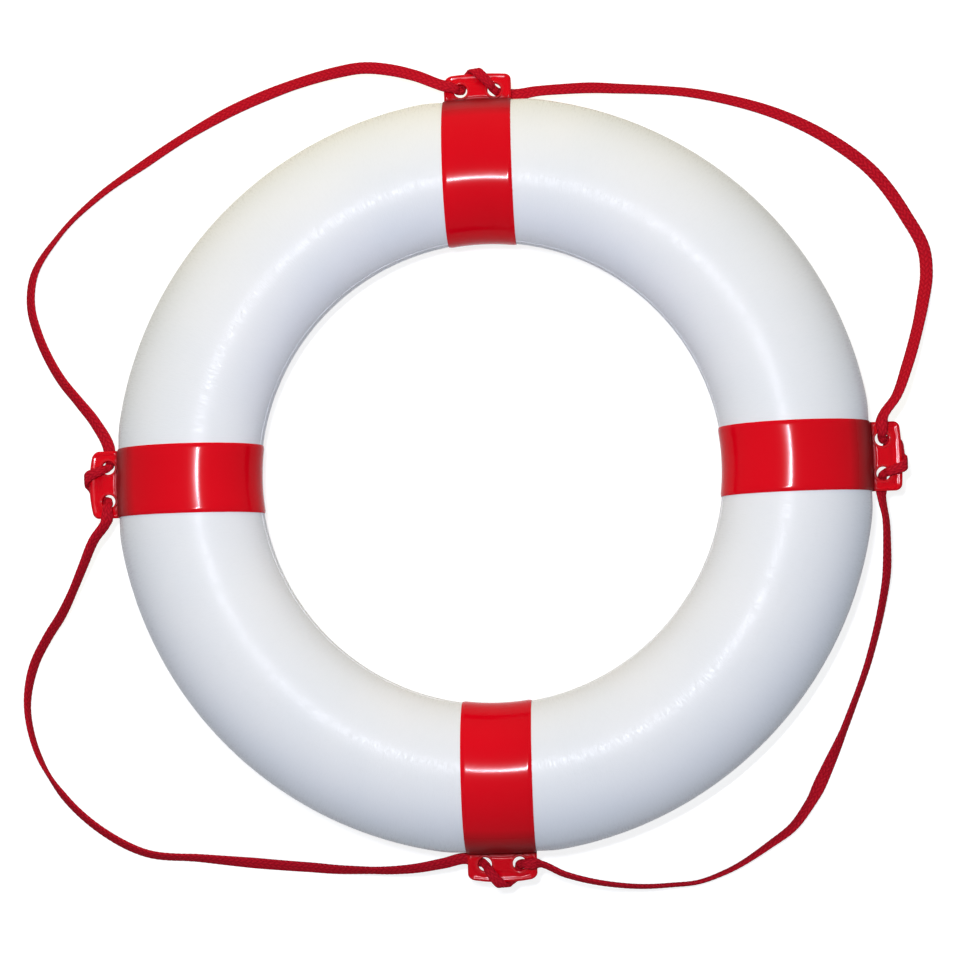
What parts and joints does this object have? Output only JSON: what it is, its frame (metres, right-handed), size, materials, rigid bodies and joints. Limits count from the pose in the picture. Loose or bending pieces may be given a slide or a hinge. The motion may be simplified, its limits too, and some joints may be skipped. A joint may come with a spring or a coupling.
{
  "type": "life ring",
  "caption": "Rigid life ring: a white foam-filled ring of welded half shells, red bands whose ends make tabs with eyelets, and a red grab line laced through them.",
  "frame": {"origin": "on the floor, under the middle of the ring, which lies on its back and stands on its bands", "axes": "+Z is the ring's axis and points out of its front, +Y points at the top band and +X at the right band"},
  "size_m": [0.9012, 0.8079, 0.1074],
  "materials": {
    "shell_white": "satin moulded skin with fine scuffs",
    "plug_white": "satin",
    "foam": "closed-cell foam",
    "band_red": "gloss",
    "eyelet_red": "gloss",
    "line_red": "hollow braid"
  },
  "bodies": {
    "root": {"shell_front": "shell_white", "shell_back": "shell_white", "foam_core": "foam", "filler_plug": "plug_white", "vent_plug": "plug_white", "band_top": "band_red", "band_right": "band_red", "band_bottom": "band_red", "band_left": "band_red", "eyelet_top_1": "eyelet_red", "eyelet_top_2": "eyelet_red", "eyelet_right_1": "eyelet_red", "eyelet_right_2": "eyelet_red", "eyelet_bottom_1": "eyelet_red", "eyelet_bottom_2": "eyelet_red", "eyelet_left_1": "eyelet_red", "eyelet_left_2": "eyelet_red", "lacing_top": "line_red", "lacing_right": "line_red", "lacing_bottom": "line_red", "lacing_left": "line_red", "grab_line_top_right": "line_red", "grab_line_bottom_right": "line_red", "grab_line_bottom_left": "line_red", "grab_line_top_left": "line_red", "line_knot": "line_red"}
  },
  "joints": []
}
